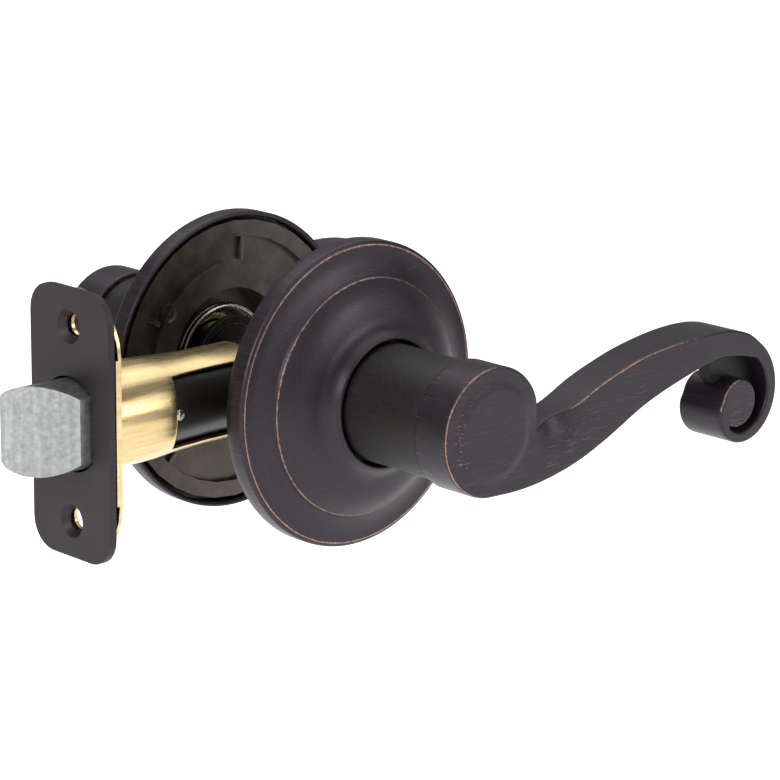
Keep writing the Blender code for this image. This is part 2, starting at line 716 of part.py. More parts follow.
def make_latch_core(place):
    taper_end = LATCH_TUBE_FRONT_X + LATCH_TUBE_STRAIGHT + LATCH_TUBE_TAPER
    skin = LATCH_TUBE_WALL + SEAT_GAP
    profile = [(0, CORE_REAR), (latch_radius(CORE_REAR) - skin - 1, CORE_REAR)]
    profile.append((latch_radius(CORE_REAR) - skin, CORE_REAR - 1))
    profile += [(latch_radius(x) - skin, x) for x in (taper_end, CORE_FRONT_X)]
    profile.append((0, CORE_FRONT_X))
    core = turned("latch_core", profile, black_plastic, place, ring=False)
    slot_z = RAIL_INNER_Z - SEAT_GAP
    past = CORE_REAR + 2
    low = (CORE_FRONT_X - 2, -CORE_CHAMBER_Y, -CORE_CHAMBER_Z)
    cut(core, box("chamber_cutter", low, (WEB_FRONT_X, CORE_CHAMBER_Y, CORE_CHAMBER_Z)))
    for name, z_low, z_high in (
        ("top", slot_z, CORE_CHAMBER_Z),
        ("bottom", -CORE_CHAMBER_Z, -slot_z),
    ):
        low = (WEB_FRONT_X - 1, RAIL_INNER_Y - SEAT_GAP, z_low)
        cut(core, box(f"{name}_rail_cutter", low, (past, CORE_CHAMBER_Y, z_high)))
        low = (0, -FINGER_HALF_THICKNESS - RUN_GAP, z_low)
        cut(core, box(f"{name}_hook_cutter", low, (past, CORE_CHAMBER_Y - 1, z_high)))
    finger_gap = FINGER_HALF_THICKNESS + RUN_GAP
    cut(
        core,
        rod("cam_chamber_cutter", FINGER_REACH + 0.9, -finger_gap, finger_gap, "Y"),
        rod("hub_cutter", CAM_HUB_RADIUS + RUN_GAP, -2 * BOLT_RADIUS, 2 * BOLT_RADIUS, "Y"),
        rod("post_cutter", POST_HOLE_RADIUS, -20, 20, "Y", (-SCREW_OFFSET, 0), 24),
    )


def make_bolt():
    nose = FACE_X - BOLT_THROW
    wide = BOLT_HALF_WIDTH
    foot = (FACE_X - BOLT_FLAT, -wide)
    point = (nose, wide - BOLT_NOSE)
    bevel = [point, *quarter_curve(point, foot, -0.9, 8)]
    loop = [(BOLT_REAR_X, -wide), (BOLT_REAR_X, wide), (nose, wide), *bevel]
    high = BOLT_RADIUS + 2
    bolt = extruded("latch_bolt", [loop], -high, high, zinc)
    round_bar = rod("bolt_round", BOLT_RADIUS, nose - 5, BOLT_REAR_X + 5, "X", steps=64)
    boolean(bolt, round_bar, "INTERSECT")


def make_bolt_tail():
    """The fork behind the bolt: a cross bar and two rails, whose hooks meet the cam's fingers."""
    low = (TAIL_FRONT_X, -RAIL_OUTER_Y, -RAIL_OUTER_Z)
    tail = box("bolt_tail", low, (TAIL_BACK_X, RAIL_OUTER_Y, RAIL_OUTER_Z), steel)
    hook_end = HOOK_FRONT + HOOK_LENGTH
    for name, z_low, z_high in (
        ("top", RAIL_INNER_Z, RAIL_OUTER_Z),
        ("bottom", -RAIL_OUTER_Z, -RAIL_INNER_Z),
    ):
        low = (TAIL_BACK_X - 1, RAIL_INNER_Y, z_low)
        join(tail, box(f"{name}_rail", low, (hook_end, RAIL_OUTER_Y, z_high)))
        low = (HOOK_FRONT, -FINGER_HALF_THICKNESS, z_low)
        join(tail, box(f"{name}_hook", low, (hook_end, RAIL_OUTER_Y - 0.5, z_high)))


def make_bolt_spring():
    low = TAIL_BACK_X + SEAT_GAP + SPRING_WIRE
    high = WEB_FRONT_X - SEAT_GAP - SPRING_WIRE
    per_turn = 9
    count = SPRING_TURNS * per_turn
    points = []
    for i in range(count + 1):
        angle = 2 * math.pi * i / per_turn
        x = low + (high - low) * i / count
        points.append((x, SPRING_RADIUS * math.cos(angle), SPRING_RADIUS * math.sin(angle)))
    wire("bolt_spring", points, SPRING_WIRE, spring_steel)


def make_cam_and_spindle():
    cam = rod("latch_cam", CAM_HUB_RADIUS, -CAM_HUB_HALF, CAM_HUB_HALF, "Y", material=steel)
    reach = (FINGER_HALF_WIDTH, FINGER_HALF_THICKNESS, FINGER_REACH)
    join(cam, box("cam_fingers", [-a for a in reach], reach))
    # Local Z is world -Y on these two, so local Y is world Z.
    for name, grow, half, material in (
        ("spindle_hole_cutter", SEAT_GAP, CAM_HUB_HALF + 2, None),
        ("spindle", 0, HALF_DOOR + TUBE_BASE_HEIGHT + TUBE_BASE - SEAT_GAP, steel),
    ):
        bar = extruded(name, [spindle_outline(grow)], -half, half, material)
        bar.rotation_euler = (math.radians(90), 0, 0)
        if not material:
            cut(cam, bar)


def shade():
    for obj in parts.objects:
        if obj.type == "MESH":
            obj.data.shade_smooth()
            obj.data.set_sharp_from_angle(angle=math.radians(30))


clear_scene()
parts = new_collection("lever_lockset")
helpers = new_collection("cutters")
bronze = metal("oil_rubbed_bronze", (0.062, 0.052, 0.056), 0.6, 0.42)
dark_bronze = metal("dark_bronze", (0.022, 0.020, 0.021), 0.3, 0.6)
brass = metal("zinc_dichromate_brass", (0.72, 0.55, 0.26), 1.0, 0.28)
steel = metal("black_steel", (0.05, 0.047, 0.04), 0.8, 0.45)
spring_steel = metal("spring_steel", (0.45, 0.45, 0.45), 1.0, 0.3)
zinc = metal("zinc_bolt", (0.22, 0.23, 0.23), 0.9, 0.4)
black_plastic = metal("black_nylon", (0.01, 0.009, 0.008), 0.0, 0.35)

outside_place = make_side("outside")
inside_place = make_side("inside")
for end_name, end_x in (("front", -SCREW_OFFSET), ("rear", SCREW_OFFSET)):
    make_post_and_screw(end_name, end_x, outside_place, inside_place)
latch_place = make_plates()
make_latch_tube(latch_place)
make_latch_core(latch_place)
make_bolt()
make_bolt_tail()
make_bolt_spring()
make_cam_and_spindle()
shade()
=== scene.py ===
import math

import bmesh
import bpy
from mathutils import Matrix, Vector


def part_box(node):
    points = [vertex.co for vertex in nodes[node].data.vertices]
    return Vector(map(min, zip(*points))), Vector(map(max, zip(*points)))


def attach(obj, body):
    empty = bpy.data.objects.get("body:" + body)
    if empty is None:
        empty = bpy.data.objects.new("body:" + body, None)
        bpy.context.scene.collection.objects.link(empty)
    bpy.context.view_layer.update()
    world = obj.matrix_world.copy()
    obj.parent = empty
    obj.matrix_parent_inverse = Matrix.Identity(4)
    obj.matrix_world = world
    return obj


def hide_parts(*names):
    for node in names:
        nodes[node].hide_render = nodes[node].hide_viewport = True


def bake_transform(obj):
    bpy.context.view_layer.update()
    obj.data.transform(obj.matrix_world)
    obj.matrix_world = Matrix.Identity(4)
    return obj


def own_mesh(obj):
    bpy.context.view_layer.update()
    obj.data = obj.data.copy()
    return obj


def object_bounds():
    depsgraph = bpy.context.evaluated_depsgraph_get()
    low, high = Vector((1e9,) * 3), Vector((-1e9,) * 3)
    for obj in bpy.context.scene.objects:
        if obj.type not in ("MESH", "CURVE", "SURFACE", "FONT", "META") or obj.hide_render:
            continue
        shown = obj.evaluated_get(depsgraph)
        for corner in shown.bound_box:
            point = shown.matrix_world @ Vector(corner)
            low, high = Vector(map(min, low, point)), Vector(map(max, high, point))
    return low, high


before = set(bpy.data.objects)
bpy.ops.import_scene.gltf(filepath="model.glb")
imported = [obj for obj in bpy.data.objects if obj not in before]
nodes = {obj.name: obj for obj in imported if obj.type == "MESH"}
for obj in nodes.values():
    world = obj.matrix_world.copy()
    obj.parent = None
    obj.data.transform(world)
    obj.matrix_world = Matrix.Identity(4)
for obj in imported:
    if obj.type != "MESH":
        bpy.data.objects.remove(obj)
cadLow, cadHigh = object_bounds()
mm = 0.001
outward = {"outside": -1, "inside": 1}  # which way along Y each side of the door faces
doorFace = {"outside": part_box("outside_rose")[1].y, "inside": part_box("inside_rose")[0].y}
print("frame loaded:", len(nodes), "nodes")


# small helpers
def linear(hexColour):
    # sRGB hex to the linear colour that the shader wants
    values = [int(hexColour[i : i + 2], 16) / 255 for i in (1, 3, 5)]
    return (*[v / 12.92 if v <= 0.04045 else ((v + 0.055) / 1.055) ** 2.4 for v in values], 1.0)


def addNode(tree, kind, settings=None, links=None):
    node = tree.nodes.new(kind)
    for name, value in (settings or {}).items():
        setattr(node, name, value)
    for socket, value in (links or {}).items():
        if isinstance(value, bpy.types.NodeSocket):
            tree.links.new(value, node.inputs[socket])
        else:
            node.inputs[socket].default_value = value
    return node


def newMaterial(name, metallic, roughness):
    material = bpy.data.materials.new(name)
    material.use_nodes = True
    shader = material.node_tree.nodes["Principled BSDF"]
    shader.inputs["Metallic"].default_value = metallic
    shader.inputs["Roughness"].default_value = roughness
    return material, material.node_tree, shader


def smoothStep(value, low, high):
    t = min(max((value - low) / (high - low), 0.0), 1.0)
    return t * t * (3 - 2 * t)


def place(name, shape, material, body, stands=()):
    # a finished shape becomes an object on its body, in place of the frame's own nodes
    mesh = bpy.data.meshes.new(name)
    shape.to_mesh(mesh)
    shape.free()
    mesh.materials.append(material)
    obj = bpy.data.objects.new(name, mesh)
    bpy.context.scene.collection.objects.link(obj)
    if body:
        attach(obj, body)
    if stands:
        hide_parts(*stands)
    return obj


def smooth(obj, angle=38):
    obj.data.shade_smooth()
    obj.data.set_sharp_from_angle(angle=math.radians(angle))


def weightNormals(obj):
    finish = obj.modifiers.new("EvenShade", "WEIGHTED_NORMAL")
    finish.keep_sharp = True


def refined(node, name, material, body, edge=0.25, segments=2, edgeHighlight=0.0):
    # a copy of a frame node with its flats merged and its sharp edges broken
    shape = bmesh.new()
    shape.from_mesh(nodes[node].data)
    bmesh.ops.remove_doubles(shape, verts=shape.verts, dist=0.004 * mm)
    bmesh.ops.dissolve_limit(
        shape, angle_limit=math.radians(0.8), verts=shape.verts, edges=shape.edges
    )
    bmesh.ops.recalc_face_normals(shape, faces=shape.faces)
    sharp = [e for e in shape.edges if len(e.link_faces) == 2]
    sharp = [e for e in sharp if e.calc_face_angle() > math.radians(30)]
    broken = bmesh.ops.bevel(
        shape,
        geom=sharp,
        offset=edge * mm,
        offset_type="OFFSET",
        affect="EDGES",
        segments=segments,
        profile=0.5,
        material=-1,
        clamp_overlap=True,
    )["faces"]
    # the edge attribute holds copper wear on bronze pieces and a painted highlight on the bolt's
    # bevels
    edgeWearAndHighlight = floatLayer(shape, "edgeWearAndHighlight")
    onEdge = set(broken)
    for vert in {v for f in broken for v in f.verts}:
        vert[edgeWearAndHighlight] = edgeHighlight * sum(f in onEdge for f in vert.link_faces) / len(vert.link_faces)
    obj = place(name, shape, material, body, [node])
    smooth(obj, 50)
    weightNormals(obj)
    return obj


def spunRing(profile, side, steps=128, closed=False):
    # turns (radius, height off the door face) points, in mm, round the spindle's axis
    out = outward[side]
    shape = bmesh.new()
    verts = [shape.verts.new((r * mm, doorFace[side] + out * h * mm, 0)) for r, h in profile]
    pairs = list(zip(verts, verts[1:])) + ([(verts[-1], verts[0])] if closed else [])
    edges = [shape.edges.new(pair) for pair in pairs]
    bmesh.ops.spin(
        shape,
        geom=verts + edges,
        cent=(0, 0, 0),
        axis=(0, 1, 0),
        dvec=(0, 0, 0),
        angle=2 * math.pi,
        steps=steps,
        use_merge=True,
        use_duplicate=False,
    )
    bmesh.ops.remove_doubles(shape, verts=shape.verts, dist=0.003 * mm)
    bmesh.ops.recalc_face_normals(shape, faces=shape.faces)
    return shape


def sweep(start, end, bulge, count):
    # points from start to end bowed to one side, without the start
    (r1, h1), (r2, h2) = start, end
    length = math.hypot(r2 - r1, h2 - h1)
    points = []
    for i in range(1, count + 1):
        t = i / count
        push = bulge * math.sin(math.pi * t) / length
        points.append((r1 + (r2 - r1) * t - (h2 - h1) * push, h1 + (h2 - h1) * t + (r2 - r1) * push))
    return points


def corner(centre, radius, start, end, count):
    x, y = centre
    angles = [math.radians(start + (end - start) * i / (count - 1)) for i in range(count)]
    return [(x + radius * math.cos(a), y + radius * math.sin(a)) for a in angles]


def floatLayer(shape, name):
    return shape.verts.layers.float.new(name)


# finishes
bronze = {
    "dark": "#252026",
    "mid": "#302A31",
    "streak": "#4C444A",
    "copper": "#9C7A6C",
    "metallic": 0.62,
    "roughness": 0.40,
    "brushLength": 6.0,  # mm
    "brushWidth": 0.22,  # as fine as still shows
    "cloud": 14.0,
}


def oilRubbedBronze(name, look):
    # Oil-rubbed bronze: a brown-black chemical coat over brushed metal, rubbed through to copper
    # on its edges. Satin, with fine brush lines along the face and round the sides.
    material, tree, shader = newMaterial(name, look["metallic"], look["roughness"])
    coords = addNode(tree, "ShaderNodeTexCoord").outputs["Object"]
    normal = addNode(tree, "ShaderNodeNewGeometry").outputs["Normal"]
    facing = addNode(tree, "ShaderNodeSeparateXYZ", None, {0: normal}).outputs["Y"]
    facing = addNode(tree, "ShaderNodeMath", {"operation": "ABSOLUTE"}, {0: facing}).outputs[0]
    facing = addNode(
        tree,
        "ShaderNodeMapRange",
        {"interpolation_type": "SMOOTHSTEP"},
        {"Value": facing, "From Min": 0.6, "From Max": 0.85},
    ).outputs[0]
    long = 1 / (look["brushLength"] * mm)
    fine = 1 / (look["brushWidth"] * mm)
    streaks = []
    for scale in ((fine, long, fine), (long, fine, fine)):
        stretched = addNode(tree, "ShaderNodeMapping", None, {"Vector": coords, "Scale": scale})
        streaks.append(
            addNode(
                tree,
                "ShaderNodeTexNoise",
                None,
                {"Vector": stretched.outputs[0], "Scale": 1.0, "Detail": 3.0, "Roughness": 0.6},
            ).outputs[0]
        )
    brush = addNode(
        tree, "ShaderNodeMix", None, {0: facing, 2: streaks[0], 3: streaks[1]}
    ).outputs[0]
    cloud = addNode(
        tree,
        "ShaderNodeTexNoise",
        None,
        {"Vector": coords, "Scale": 1 / (look["cloud"] * mm), "Detail": 3.0, "Roughness": 0.55},
    ).outputs[0]
    grit = addNode(
        tree,
        "ShaderNodeTexNoise",
        None,
        {"Vector": coords, "Scale": 1 / (0.9 * mm), "Detail": 2.0, "Roughness": 0.6},
    ).outputs[0]
    base = addNode(
        tree,
        "ShaderNodeMix",
        {"data_type": "RGBA"},
        {0: cloud, 6: linear(look["dark"]), 7: linear(look["mid"])},
    ).outputs[2]
    # pale brush lines, thicker where the cloud is bright
    pale = addNode(
        tree,
        "ShaderNodeMapRange",
        {"interpolation_type": "SMOOTHSTEP"},
        {"Value": brush, "From Min": 0.5, "From Max": 0.78, "To Max": 0.45},
    ).outputs[0]
    base = addNode(
        tree, "ShaderNodeMix", {"data_type": "RGBA"}, {0: pale, 6: base, 7: linear(look["streak"])}
    ).outputs[2]
    # copper on the edges, broken up by grit and fading in patches
    edgeWearAndHighlight = addNode(tree, "ShaderNodeAttribute", {"attribute_name": "edgeWearAndHighlight"}).outputs["Fac"]
    broken = addNode(
        tree, "ShaderNodeMath", {"operation": "MULTIPLY_ADD"}, {0: grit, 1: 0.9, 2: -0.45}
    ).outputs[0]
    broken = addNode(tree, "ShaderNodeMath", None, {0: broken, 1: edgeWearAndHighlight}).outputs[0]
    edgeLine = addNode(
        tree,
        "ShaderNodeMapRange",
        {"interpolation_type": "SMOOTHSTEP"},
        {"Value": broken, "From Min": 0.45, "From Max": 1.0},
    ).outputs[0]
    # short copper scratches where the surface is rubbed
    rub = addNode(tree, "ShaderNodeAttribute", {"attribute_name": "rub"}).outputs["Fac"]
    scratch = addNode(
        tree,
        "ShaderNodeMapRange",
        {"interpolation_type": "SMOOTHSTEP"},
        {"Value": brush, "From Min": 0.57, "From Max": 0.72},
    ).outputs[0]
    scratch = addNode(
        tree, "ShaderNodeMath", {"operation": "MULTIPLY"}, {0: scratch, 1: rub}
    ).outputs[0]
    copper = addNode(
        tree,
        "ShaderNodeMath",
        {"operation": "ADD", "use_clamp": True},
        {0: edgeLine, 1: scratch},
    ).outputs[0]
    colour = addNode(
        tree, "ShaderNodeMix", {"data_type": "RGBA"}, {0: copper, 6: base, 7: linear(look["copper"])}
    ).outputs[2]
    tree.links.new(colour, shader.inputs["Base Color"])
    rough = addNode(
        tree,
        "ShaderNodeMapRange",
        None,
        {
            "Value": cloud,
            "From Min": 0.3,
            "From Max": 0.7,
            "To Min": look["roughness"] - 0.05,
            "To Max": look["roughness"] + 0.07,
        },
    ).outputs[0]
    tree.links.new(rough, shader.inputs["Roughness"])
    bump = addNode(
        tree, "ShaderNodeBump", None, {"Strength": 0.12, "Distance": 0.05 * mm, "Height": brush}
    ).outputs[0]
    tree.links.new(bump, shader.inputs["Normal"])
    return material


def plainMetal(
    name, light, dark, metallic, roughness, grain, bumpDepth, stretch=(1, 1, 1), spread=0.1
):
    # a metal whose tone and gloss shift a little over its grain
    material, tree, shader = newMaterial(name, metallic, roughness)
    coords = addNode(tree, "ShaderNodeTexCoord").outputs["Object"]
    stretched = addNode(tree, "ShaderNodeMapping", None, {"Vector": coords, "Scale": stretch})
    noise = addNode(
        tree,
        "ShaderNodeTexNoise",
        None,
        {
            "Vector": stretched.outputs[0],
            "Scale": 1 / (grain * mm),
            "Detail": 4.0,
            "Roughness": 0.6,
        },
    ).outputs[0]
    tone = addNode(
        tree, "ShaderNodeMapRange", None, {"Value": noise, "From Min": 0.3, "From Max": 0.7}
    ).outputs[0]
    colour = addNode(
        tree, "ShaderNodeMix", {"data_type": "RGBA"}, {0: tone, 6: linear(dark), 7: linear(light)}
    ).outputs[2]
    tree.links.new(colour, shader.inputs["Base Color"])
    rough = addNode(
        tree,
        "ShaderNodeMapRange",
        None,
        {
            "Value": noise,
            "From Min": 0.3,
            "From Max": 0.7,
            "To Min": roughness - spread / 2,
            "To Max": roughness + spread / 2,
        },
    ).outputs[0]
    tree.links.new(rough, shader.inputs["Roughness"])
    bump = addNode(
        tree, "ShaderNodeBump", None, {"Strength": 0.3, "Distance": bumpDepth * mm, "Height": noise}
    ).outputs[0]
    tree.links.new(bump, shader.inputs["Normal"])
    return material


bronzeFinish = oilRubbedBronze("oilRubbedBronze", bronze)
# the plate in the door's edge has the same coat over a plain stamping, so it's flatter and greyer
plateLook = dict(bronze, dark="#2B2629", mid="#332D30", streak="#3C3538", roughness=0.5)
plateFinish = oilRubbedBronze("oilRubbedBronzeStamping", plateLook)
# Matt dark bronze: the neck's coat is thicker and darker, with a cast tooth
neckFinish = plainMetal("mattDarkBronze", "#231F21", "#171415", 0.45, 0.5, 0.8, 0.04)
# Yellow zinc on drawn steel: a bright brassy gold with faint draw lines along the tube
brassFinish = plainMetal(
    "yellowZincPlate", "#D8C497", "#C4A976", 1.0, 0.27, 3.0, 0.01, (0.25, 3.0, 3.0), 0.08
)
# Phosphate on stamped steel: dark brownish grey, dull, with a fine crystal tooth
steelFinish = plainMetal("blackPhosphateSteel", "#57524A", "#403B35", 0.85, 0.4, 6.0, 0.02)
# Phosphate on the small turned and folded parts, darker and smoother than the plate
darkSteelFinish = plainMetal("blackOxideSteel", "#2E2B28", "#1D1B19", 0.85, 0.38, 1.2, 0.02)
# Music wire: bright grey, drawn smooth
wireFinish = plainMetal("drawnSpringWire", "#B9B6AE", "#8E8B84", 1.0, 0.25, 0.8, 0.01)
# Painted shade: the web deep in the scroll's groove is the darkest bronze of all, standing in for
# the shadow in the groove
grooveShadeFinish = plainMetal("paintedShadeGrooveBronze", "#1B1719", "#110E10", 0.4, 0.5, 1.0, 0.02)


def blackNylon():
    # Glass-filled nylon, moulded: near black with a soft shine and a faint flow texture
    material, tree, shader = newMaterial("mouldedBlackNylon", 0.0, 0.33)
    coords = addNode(tree, "ShaderNodeTexCoord").outputs["Object"]
    flow = addNode(
        tree,
        "ShaderNodeTexNoise",
        None,
        {"Vector": coords, "Scale": 1 / (1.5 * mm), "Detail": 5.0, "Roughness": 0.6},
    ).outputs[0]
    colour = addNode(
        tree,
        "ShaderNodeMix",
        {"data_type": "RGBA"},
        {0: flow, 6: linear("#0D0B0A"), 7: linear("#1D1A18")},
    ).outputs[2]
    tree.links.new(colour, shader.inputs["Base Color"])
    bump = addNode(
        tree, "ShaderNodeBump", None, {"Strength": 0.3, "Distance": 0.04 * mm, "Height": flow}
    ).outputs[0]
    tree.links.new(bump, shader.inputs["Normal"])
    return material


def tumbledZinc():
    # Zinc die casting, tumbled: soft mid grey, with a painted highlight on its bevelled edges
    # and a painted dark reflection on the round top and bottom.
    material, tree, shader = newMaterial("tumbledZincCasting", 0.9, 0.4)
    coords = addNode(tree, "ShaderNodeTexCoord").outputs["Object"]
    bloom = addNode(
        tree,
        "ShaderNodeTexNoise",
        None,
        {"Vector": coords, "Scale": 1 / (1.2 * mm), "Detail": 6.0, "Roughness": 0.65},
    ).outputs[0]
    tone = addNode(
        tree, "ShaderNodeMapRange", None, {"Value": bloom, "From Min": 0.3, "From Max": 0.7}
    ).outputs[0]
    cast = addNode(
        tree,
        "ShaderNodeMix",
        {"data_type": "RGBA"},
        {0: tone, 6: linear("#616363"), 7: linear("#757777")},
    ).outputs[2]
    # painted dark reflection: faces turned up and down are darkened as if they reflected a dark room
    normal = addNode(tree, "ShaderNodeNewGeometry").outputs["Normal"]
    upright = addNode(tree, "ShaderNodeSeparateXYZ", None, {0: normal}).outputs["Z"]
    upright = addNode(tree, "ShaderNodeMath", {"operation": "ABSOLUTE"}, {0: upright}).outputs[0]
    paintedDarkReflection = addNode(
        tree,
        "ShaderNodeMapRange",
        {"interpolation_type": "SMOOTHSTEP"},
        {"Value": upright, "From Min": 0.25, "From Max": 0.7, "To Max": 0.8},
    ).outputs[0]
    cast = addNode(
        tree, "ShaderNodeMix", {"data_type": "RGBA"}, {0: paintedDarkReflection, 6: cast, 7: linear("#3A3C3D")}
    ).outputs[2]
    # painted highlight: the bevelled edges are brightened as if they caught the light
    edgeWearAndHighlight = addNode(tree, "ShaderNodeAttribute", {"attribute_name": "edgeWearAndHighlight"}).outputs["Fac"]
    paintedEdgeHighlight = addNode(
        tree, "ShaderNodeMath", {"operation": "MULTIPLY"}, {0: edgeWearAndHighlight, 1: bloom}
    ).outputs[0]
    colour = addNode(
        tree, "ShaderNodeMix", {"data_type": "RGBA"}, {0: paintedEdgeHighlight, 6: cast, 7: linear("#D9DBDB")}
    ).outputs[2]
    tree.links.new(colour, shader.inputs["Base Color"])
    rough = addNode(
        tree,
        "ShaderNodeMapRange",
        None,
        {"Value": bloom, "From Min": 0.3, "From Max": 0.7, "To Min": 0.34, "To Max": 0.5},
    ).outputs[0]
    tree.links.new(rough, shader.inputs["Roughness"])
    bump = addNode(
        tree, "ShaderNodeBump", None, {"Strength": 0.35, "Distance": 0.03 * mm, "Height": bloom}
    ).outputs[0]
    tree.links.new(bump, shader.inputs["Normal"])
    return material


zincFinish = tumbledZinc()
nylonFinish = blackNylon()
print("finishes made")

# roses: thin turned covers, copper showing on their two ring edges
rose = {
    "radius": (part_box("outside_rose")[1].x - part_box("outside_rose")[0].x) / 2 / mm,
    "height": (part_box("outside_rose")[1].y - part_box("outside_rose")[0].y) / mm,
    "wall": 1.1,
    "rimHeight": 3.9,
    "rimRound": 0.9,
    "ringRadius": 25.8,  # fine ring between the cove and the dome
    "ringHeight": 7.3,
    "ringDrop": 0.75,
    "flareRadius": 18.9,
    "flareHeight": 10.9,
    "hole": 13.6,
    "lip": 0.45,
    "steps": 160,
}


def makeRose(side):
    top = rose["height"]
    lip = rose["lip"]
    rimTop = (rose["radius"] - rose["rimRound"], rose["rimHeight"] + rose["rimRound"])
    ringEdge = (rose["ringRadius"], rose["ringHeight"])
    profile = [(rose["hole"], top - 1.6)]
    profile += corner((rose["hole"] + lip, top - lip), lip, 180, 40, 6)
    flare = (rose["flareRadius"], rose["flareHeight"])
    profile += sweep(profile[-1], flare, -0.75, 14)
    profile += sweep(flare, ringEdge, 0.55, 12)
    drop = (rose["ringRadius"] + 0.35, rose["ringHeight"] - rose["ringDrop"])
    profile += sweep(ringEdge, drop, 0.03, 4)
    profile += sweep(drop, rimTop, -0.42, 12)
    profile += corner(
        (rose["radius"] - rose["rimRound"], rose["rimHeight"]), rose["rimRound"], 90, 0, 9
    )[1:]
    profile += [(rose["radius"], rose["rimHeight"] * 0.5), (rose["radius"], 0.35)]
    profile.append((rose["radius"] - 0.2, 0))
    shape = spunRing(profile, side, rose["steps"])
    edgeWearAndHighlight = floatLayer(shape, "edgeWearAndHighlight")
    rub = floatLayer(shape, "rub")
    for vert in shape.verts:
        radius = math.hypot(vert.co.x, vert.co.z) / mm
        height = abs(vert.co.y - doorFace[side]) / mm
        ringGap = math.hypot(radius - ringEdge[0], height - ringEdge[1])
        rimGap = math.hypot(radius - rimTop[0], height - rimTop[1])
        vert[edgeWearAndHighlight] = max(0.85 - ringGap / 0.2, 1 - rimGap / 0.25, 0)
        vert[rub] = 0.12 * smoothStep(radius, rose["radius"] - 2, rose["radius"])
    obj = place(f"{side}RoseCover", shape, bronzeFinish, "lock", [f"{side}_rose"])
    wall = obj.modifiers.new("Wall", "SOLIDIFY")
    wall.thickness = rose["wall"] * mm
    wall.offset = -1
    wall.use_even_offset = True
    smooth(obj, 30)


for side in outward:
    makeRose(side)

# necks: dark sleeves between rose and lever
neck = {
    "radius": (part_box("outside_lever_neck")[1].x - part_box("outside_lever_neck")[0].x) / 2 / mm,
    "edge": 0.3,
    "waist": 0.12,  # the sleeve is a touch slimmer half way along
    "wall": 2.0,
    "webDepth": 4.0,  # thickness of the web that closes the front round the drive tube
    "tubeGap": 0.3,
}


def makeNeck(side):
    low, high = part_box(f"{side}_lever_neck")
    back, front = sorted(abs(y - doorFace[side]) / mm for y in (low.y, high.y))
    radius = neck["radius"]
    edge = neck["edge"]
    inside = radius - neck["wall"]
    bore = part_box(f"{side}_drive_tube")[1].x / mm + neck["tubeGap"]
    web = front - neck["webDepth"]
    profile = corner((radius - edge, front - edge), edge, 90, 0, 5)
    profile += sweep(profile[-1], (radius, back + edge), -neck["waist"], 8)
    profile += corner((radius - edge, back + edge), edge, 0, -90, 5)
    profile += [(inside, back), (inside, web), (bore, web), (bore, front)]
    shape = spunRing(profile, side, 128, closed=True)
    stands = [f"{side}_lever_neck"]
    obj = place(f"{side}NeckSleeve", shape, neckFinish, "levers", stands)
    smooth(obj, 30)


for side in outward:
    makeNeck(side)
print("roses and necks made")

# levers: a drum, an S-shaped arm and a scroll, cut from one outline
lever = {
    "drum": 13.8,
    "rootAngle": -7.1,  # where the arm's upper edge leaves the drum
    "scroll": (75.7, -7.0),
    "eye": 5.4,
    "outerStart": 6.1,
    "outerGrowth": 0.0338,  # per degree
    "innerGrowth": 0.0269,
    "innerTurn": 40.0,
    "scrollExtra": 1.2,  # how far the scroll stands out of the drum's faces
    "swellStart": 40.0,
    "swellLength": 26.0,
    "edge": 0.55,
    "discRadius": 10.0,  # raised disc on the drum's face
    "discStep": 0.42,
    "hollow": (17.9, 0.4),  # thumb hollow where the arm meets the drum
    "hollowSize": 3.3,
    "hollowDepth": 2.0,
    "grid": 0.8,
    "webThickness": 3.0,
    "webOverlap": 0.8,  # how far the web's edge is sunk in the scroll
    "socketGap": 0.3,  # round and past the drive tube
    "socketLead": 2.0,  # how far the cutter starts before the lever's back face
    "screwHole": 2.2,
    "screwHoleDepth": 9.0,
    "screwHoleDrop": 11.5,  # the hole's middle, below the spindle's axis
}


def splineThrough(points, steps):
    # a Catmull-Rom line through the points, without its last point
    ends = [points[0], *points, points[-1]]
    line = []
    for a, b, c, d in zip(ends, ends[1:], ends[2:], ends[3:]):
        a, b, c, d = Vector(a), Vector(b), Vector(c), Vector(d)
        for i in range(steps):
            t = i / steps
            point = b + t * (c - a) / 2 + t * t * (2 * a - 5 * b + 4 * c - d) / 2
            line.append(tuple(point + t**3 * (3 * b - a - 3 * c + d) / 2))
    return line


def scrollLine(radiusAt, start, end, count):
    points = []
    for i in range(count):
        turn = start + (end - start) * i / (count - 1)
        angle = math.radians(turn - 180)
        x = lever["scroll"][0] + radiusAt(turn) * math.cos(angle)
        points.append((x, lever["scroll"][1] + radiusAt(turn) * math.sin(angle)))
    return points


def leverOutline():
    drum, eye, root = lever["drum"], lever["eye"], lever["rootAngle"]
    upper = corner((0, 0), drum, root, root, 2)[:1]
    upper += [(23.1, 0.8), (30.8, 4.1), (37.5, 6.4), (46.7, 8.7), (59.7, 10.2), (70.5, 10.2)]
    upper.append((78.1, 8.4))
    outer = scrollLine(lambda turn: lever["outerStart"] + lever["outerGrowth"] * turn, 239, 4, 90)
    core = corner(lever["scroll"], eye, 165, -118, 64)
    inner = scrollLine(
        lambda turn: eye + lever["innerGrowth"] * (turn - lever["innerTurn"]), 60, 240, 60
    )
    lower = [inner[-1], (74.6, 3.8), (68.0, 4.2), (59.0, 2.2), (46.8, -1.9)]
    lower += [(34.0, -7.8), (25.0, -11.3), (15.8, -13.3), (7.5, -14.0)]
    rim = corner((0, 0), drum, -92, -360 + root, 100)
    line = splineThrough([*upper, outer[0]], 12) + outer + core + inner[:-1]
    return line + splineThrough([*lower, rim[0]], 12) + rim[:-1]


